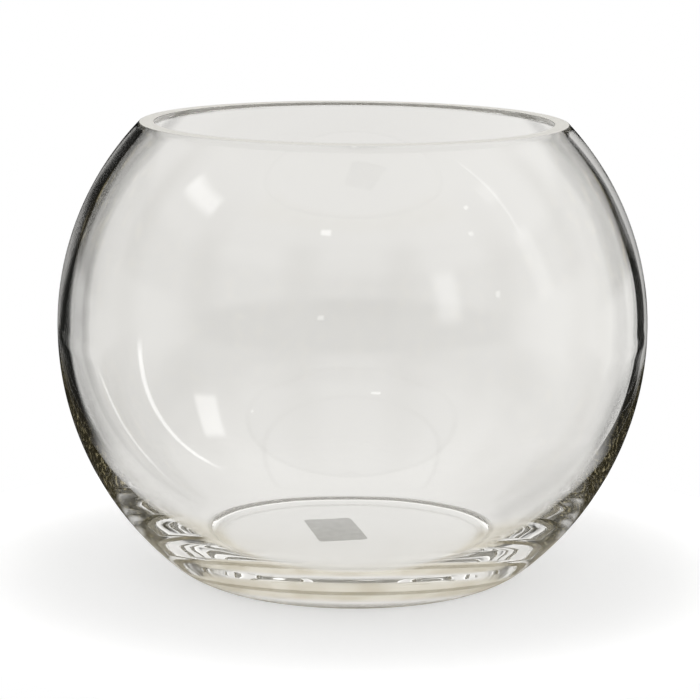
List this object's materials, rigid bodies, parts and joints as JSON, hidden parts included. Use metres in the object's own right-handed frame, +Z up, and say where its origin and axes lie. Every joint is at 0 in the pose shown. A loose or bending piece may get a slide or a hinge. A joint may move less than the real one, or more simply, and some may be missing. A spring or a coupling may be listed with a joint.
{
  "type": "rose bowl vase",
  "caption": "Clear glass rose bowl vase: nearly round belly, wide cut mouth, heavy base on a ground foot ring, and a small blank paper label under the base.",
  "frame": {"origin": "on the bowl's axis at table level, in the plane of the foot ring", "axes": "+Z up along the bowl's axis; the bowl looks the same all round, and the front of the picture looks along +Y"},
  "size_m": [0.25, 0.25, 0.1928],
  "materials": {
    "clear_glass": "clear, gloss, ground at the rim and the foot ring",
    "label_paper": "plain blank paper label"
  },
  "bodies": {
    "root": {"glass_bowl": "clear_glass", "base_label": "label_paper"}
  },
  "joints": []
}
